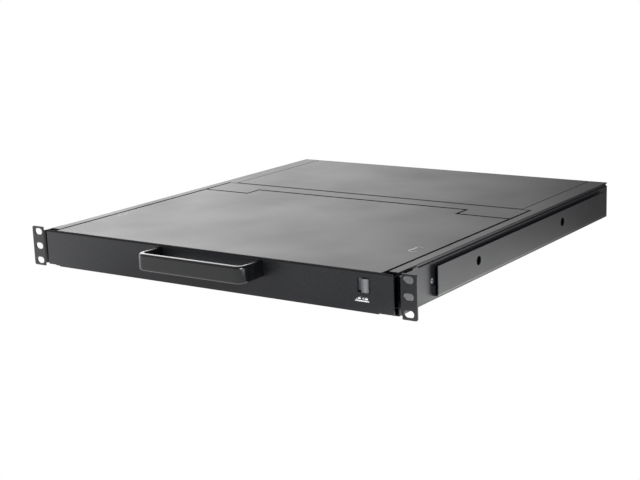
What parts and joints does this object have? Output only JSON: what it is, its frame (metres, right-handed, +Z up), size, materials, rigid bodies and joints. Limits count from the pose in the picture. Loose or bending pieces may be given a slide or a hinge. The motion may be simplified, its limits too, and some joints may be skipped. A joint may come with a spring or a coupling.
{
  "type": "rackmount lcd console drawer",
  "caption": "Rack-mount console drawer with a pull handle, a sliding keyboard tray on ball slides and a fold-up flat screen.",
  "frame": {"origin": "middle of the rack-hole pattern, in the front plane of the rack ears", "axes": "+X to the drawer's right seen from behind it, as a person in front faces it; +Y to the rear; +Z up"},
  "size_m": [0.4826, 0.5305, 0.0435],
  "materials": {
    "black_powder_coat": "fine-textured satin black powder coat on sheet steel",
    "gloss_black_moulding": "gloss black moulded nylon",
    "black_plastic": "matt black moulded plastic",
    "rocker_plastic": "gloss black moulded plastic",
    "zinc_plated_steel": "bright zinc-plated rolled steel",
    "nickel_shell": "nickel-plated pressed shell",
    "galvanised_case": "galvanised sheet steel",
    "circuit_board": "green solder-resist laminate",
    "grey_plastic": "satin mid-grey moulded plastic",
    "spring_wire": "drawn spring wire",
    "bearing_steel": "polished balls in a plated strip",
    "keycap_plastic": "fine matt black keycaps",
    "touch_surface": "fine-grained black touch surface",
    "display_glass": "anti-glare glass over a dark panel",
    "menu_key_plastic": "dark grey moulded keys",
    "black_rubber": "soft black rubber"
  },
  "bodies": {
    "chassis": {"chassis_pan": "black_powder_coat", "rear_cover": "black_powder_coat", "rear_panel": "black_powder_coat", "power_inlet": "black_plastic", "switch_housing": "black_plastic", "video_socket": "nickel_shell", "usb_socket": "nickel_shell", "power_supply": "galvanised_case", "control_board": "circuit_board", "wall_screws": "zinc_plated_steel", "latch_strike": "zinc_plated_steel", "side_wall_left": "black_powder_coat", "side_wall_right": "black_powder_coat", "cover_ledge_left": "black_powder_coat", "cover_ledge_right": "black_powder_coat", "ear_bracket_left": "black_powder_coat", "ear_bracket_right": "black_powder_coat", "outer_rail_left": "black_powder_coat", "outer_rail_right": "black_powder_coat", "slide_outer_left": "zinc_plated_steel", "slide_outer_right": "zinc_plated_steel"},
    "drawer": {"drawer_tray": "black_powder_coat", "front_panel": "black_powder_coat", "pull_handle": "gloss_black_moulding", "handle_screws": "zinc_plated_steel", "lock_spring": "spring_wire", "hinge_bar": "black_powder_coat", "keyboard_deck": "black_plastic", "key_plate": "galvanised_case", "touchpad": "touch_surface", "slide_inner_left": "zinc_plated_steel", "slide_inner_right": "zinc_plated_steel", "hinge_block_left": "zinc_plated_steel", "hinge_block_right": "zinc_plated_steel"},
    "screen": {"lid_shell": "black_powder_coat", "screen_bezel": "black_plastic", "screen_panel": "display_glass", "screen_keypad": "menu_key_plastic", "screen_bumpers": "black_rubber", "hinge_arm_left": "zinc_plated_steel", "hinge_arm_right": "zinc_plated_steel"},
    "lock": {"lock_slider": "grey_plastic"},
    "power_switch": {"switch_rocker": "rocker_plastic"},
    "slide_middle_left": {"slide_middle_left": "zinc_plated_steel"},
    "cage_outer_left": {"cage_outer_left": "bearing_steel"},
    "cage_inner_left": {"cage_inner_left": "bearing_steel"},
    "touch_button_left": {"touch_button_left": "touch_surface"},
    "slide_middle_right": {"slide_middle_right": "zinc_plated_steel"},
    "cage_outer_right": {"cage_outer_right": "bearing_steel"},
    "cage_inner_right": {"cage_inner_right": "bearing_steel"},
    "touch_button_right": {"touch_button_right": "touch_surface"},
    "keys_bottom_row": {"keys_bottom_row": "keycap_plastic"},
    "keys_lower_row": {"keys_lower_row": "keycap_plastic"},
    "keys_home_row": {"keys_home_row": "keycap_plastic"},
    "keys_upper_row": {"keys_upper_row": "keycap_plastic"},
    "keys_number_row": {"keys_number_row": "keycap_plastic"},
    "keys_function_row": {"keys_function_row": "keycap_plastic"},
    "key_space_bar": {"key_space_bar": "keycap_plastic"}
  },
  "joints": [
    {"name": "drawer_slide", "type": "slide", "parent": "chassis", "child": "drawer", "axis": [0, -1, 0], "range_m": [0, 0.4]},
    {"name": "slide_middle_left_travel", "type": "slide", "parent": "chassis", "child": "slide_middle_left", "axis": [0, -1, 0], "range_m": [0, 0.2]},
    {"name": "cage_outer_left_travel", "type": "slide", "parent": "chassis", "child": "cage_outer_left", "axis": [0, -1, 0], "range_m": [0, 0.1]},
    {"name": "cage_inner_left_travel", "type": "slide", "parent": "chassis", "child": "cage_inner_left", "axis": [0, -1, 0], "range_m": [0, 0.3]},
    {"name": "slide_middle_right_travel", "type": "slide", "parent": "chassis", "child": "slide_middle_right", "axis": [0, -1, 0], "range_m": [0, 0.2]},
    {"name": "cage_outer_right_travel", "type": "slide", "parent": "chassis", "child": "cage_outer_right", "axis": [0, -1, 0], "range_m": [0, 0.1]},
    {"name": "cage_inner_right_travel", "type": "slide", "parent": "chassis", "child": "cage_inner_right", "axis": [0, -1, 0], "range_m": [0, 0.3]},
    {"name": "screen_hinge", "type": "hinge", "parent": "drawer", "child": "screen", "pos_m": [0, 0.2675, 0.0136], "axis": [-1, 0, 0], "range_deg": [0, 120]},
    {"name": "lock_slide", "type": "slide", "parent": "drawer", "child": "lock", "axis": [-1, 0, 0], "range_m": [0, 0.005], "stiffness_N_per_m": 250, "springref_m": -0.004, "deforming": ["lock_spring"]},
    {"name": "power_switch_rock", "type": "hinge", "parent": "chassis", "child": "power_switch", "pos_m": [-0.112, 0.486, -0.002], "axis": [1, 0, 0], "range_deg": [0, 16]},
    {"name": "bottom_row_press", "type": "slide", "parent": "drawer", "child": "keys_bottom_row", "axis": [0, 0, -1], "range_m": [0, 0.002], "stiffness_N_per_m": 1500, "springref_m": -0.001},
    {"name": "lower_row_press", "type": "slide", "parent": "drawer", "child": "keys_lower_row", "axis": [0, 0, -1], "range_m": [0, 0.002], "stiffness_N_per_m": 1500, "springref_m": -0.001},
    {"name": "home_row_press", "type": "slide", "parent": "drawer", "child": "keys_home_row", "axis": [0, 0, -1], "range_m": [0, 0.002], "stiffness_N_per_m": 1500, "springref_m": -0.001},
    {"name": "upper_row_press", "type": "slide", "parent": "drawer", "child": "keys_upper_row", "axis": [0, 0, -1], "range_m": [0, 0.002], "stiffness_N_per_m": 1500, "springref_m": -0.001},
    {"name": "number_row_press", "type": "slide", "parent": "drawer", "child": "keys_number_row", "axis": [0, 0, -1], "range_m": [0, 0.002], "stiffness_N_per_m": 1500, "springref_m": -0.001},
    {"name": "function_row_press", "type": "slide", "parent": "drawer", "child": "keys_function_row", "axis": [0, 0, -1], "range_m": [0, 0.002], "stiffness_N_per_m": 1500, "springref_m": -0.001},
    {"name": "space_bar_press", "type": "slide", "parent": "drawer", "child": "key_space_bar", "axis": [0, 0, -1], "range_m": [0, 0.002], "stiffness_N_per_m": 400, "springref_m": -0.001},
    {"name": "touch_button_left_press", "type": "slide", "parent": "drawer", "child": "touch_button_left", "axis": [0, 0, -1], "range_m": [0, 0.0008], "stiffness_N_per_m": 500, "springref_m": -0.001},
    {"name": "touch_button_right_press", "type": "slide", "parent": "drawer", "child": "touch_button_right", "axis": [0, 0, -1], "range_m": [0, 0.0008], "stiffness_N_per_m": 500, "springref_m": -0.001}
  ],
  "couplings": [
    {"joint": "slide_middle_left_travel", "follows": "drawer_slide", "ratio": 0.5},
    {"joint": "cage_outer_left_travel", "follows": "drawer_slide", "ratio": 0.25},
    {"joint": "cage_inner_left_travel", "follows": "drawer_slide", "ratio": 0.75},
    {"joint": "slide_middle_right_travel", "follows": "drawer_slide", "ratio": 0.5},
    {"joint": "cage_outer_right_travel", "follows": "drawer_slide", "ratio": 0.25},
    {"joint": "cage_inner_right_travel", "follows": "drawer_slide", "ratio": 0.75}
  ]
}
